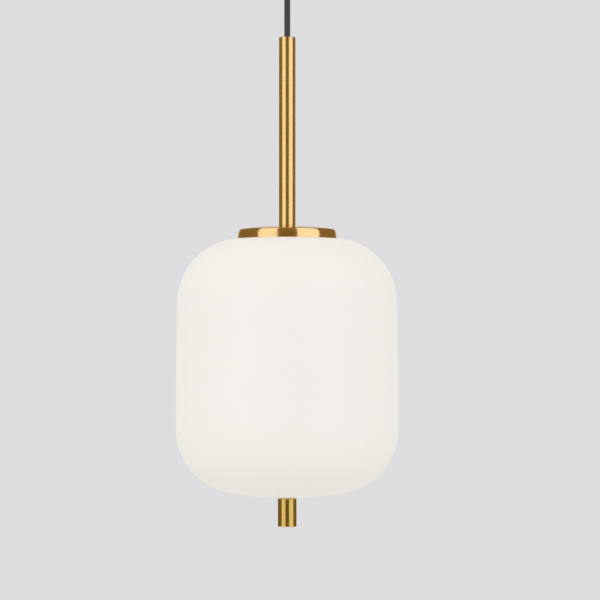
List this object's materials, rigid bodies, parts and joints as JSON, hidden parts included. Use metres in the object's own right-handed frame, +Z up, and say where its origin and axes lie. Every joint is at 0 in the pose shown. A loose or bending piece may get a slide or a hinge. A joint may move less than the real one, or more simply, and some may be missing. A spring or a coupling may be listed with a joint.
{
  "type": "pendant ceiling light",
  "caption": "Pendant ceiling light with a rounded opal glass shade, shallow brass cap, slim brass stem and brass thumb nut, hung by its cord from a canopy.",
  "frame": {"origin": "centre of the ceiling bracket's mounting face, midway between its two screw holes", "axes": "+Z up into the ceiling, along the lamp's axis; the two ceiling screws lie on X"},
  "size_m": [0.2226, 0.2226, 0.5886],
  "materials": {
    "satin_brass": "fine brushed satin, lacquered",
    "raw_brass": "turned, unlacquered",
    "zinc_steel": "zinc plated",
    "opal_glass": "opal white, satin etched outside",
    "frosted_envelope": "frosted white",
    "cord_fabric": "charcoal textile braid",
    "lead_insulation": "soft insulation",
    "earth_insulation": "soft insulation",
    "clear_rubber": "translucent silicone",
    "white_plastic": "fine matte",
    "black_plastic": "fine matte",
    "porcelain": "glazed",
    "nickel_cap": "nickel plated",
    "black_glass": "vitrified bead",
    "led_board": "white solder mask"
  },
  "bodies": {
    "ceiling_fitting": {"ceiling_bracket": "zinc_steel", "earth_screw": "zinc_steel", "canopy": "satin_brass", "canopy_screws": "satin_brass", "terminal_block": "white_plastic", "terminal_screws": "zinc_steel", "cord_grip": "satin_brass", "grip_nut": "zinc_steel", "grip_screw": "zinc_steel", "cord_tail": "cord_fabric", "supply_leads": "lead_insulation", "earth_lead": "earth_insulation"},
    "cord": {"cord": "cord_fabric"},
    "lamp": {"stem": "satin_brass", "stem_top_bush": "satin_brass", "stem_bottom_bush": "raw_brass", "nipple": "zinc_steel", "stem_cord": "cord_fabric", "cap": "satin_brass", "cap_spacer": "zinc_steel", "cap_gasket": "clear_rubber", "top_plate": "zinc_steel", "plate_nut": "zinc_steel", "support_rods": "zinc_steel", "rod_nuts": "zinc_steel", "bottom_bar": "zinc_steel", "finial_stud": "zinc_steel", "stud_nuts": "zinc_steel", "socket_cap": "black_plastic", "socket_body": "black_plastic", "socket_insert": "porcelain", "screw_shell": "raw_brass", "center_contact": "raw_brass", "socket_screws": "zinc_steel", "socket_leads": "lead_insulation", "bulb_base": "nickel_cap", "bulb_contact": "black_glass", "bulb_collar": "white_plastic", "led_board": "led_board", "bulb_globe": "frosted_envelope"},
    "shade": {"glass_shade": "opal_glass", "glass_grommet": "clear_rubber"},
    "washers": {"rubber_washer": "clear_rubber", "steel_washer": "zinc_steel"},
    "finial": {"finial": "satin_brass"}
  },
  "joints": [
    {"name": "cord_swing", "type": "hinge", "parent": "ceiling_fitting", "child": "cord", "pos_m": [0, 0, -0.036], "axis": [1, 0, 0], "range_deg": [-20, 20]},
    {"name": "stem_swing", "type": "hinge", "parent": "cord", "child": "lamp", "pos_m": [0, 0, -0.1], "axis": [0, 1, 0], "range_deg": [-20, 20]},
    {"name": "shade_drop", "type": "slide", "parent": "lamp", "child": "shade", "axis": [0, 0, -1], "range_m": [0, 0.28]},
    {"name": "washer_drop", "type": "slide", "parent": "shade", "child": "washers", "axis": [0, 0, -1], "range_m": [0, 0.012]},
    {"name": "finial_turn", "type": "hinge", "parent": "washers", "child": "finial", "pos_m": [0, 0, -0.57], "axis": [0, 0, -1], "range_deg": [0, 4321]}
  ],
  "couplings": [
    {"joint": "finial_turn", "follows": "washer_drop", "rad_per_m": 6283.2}
  ]
}
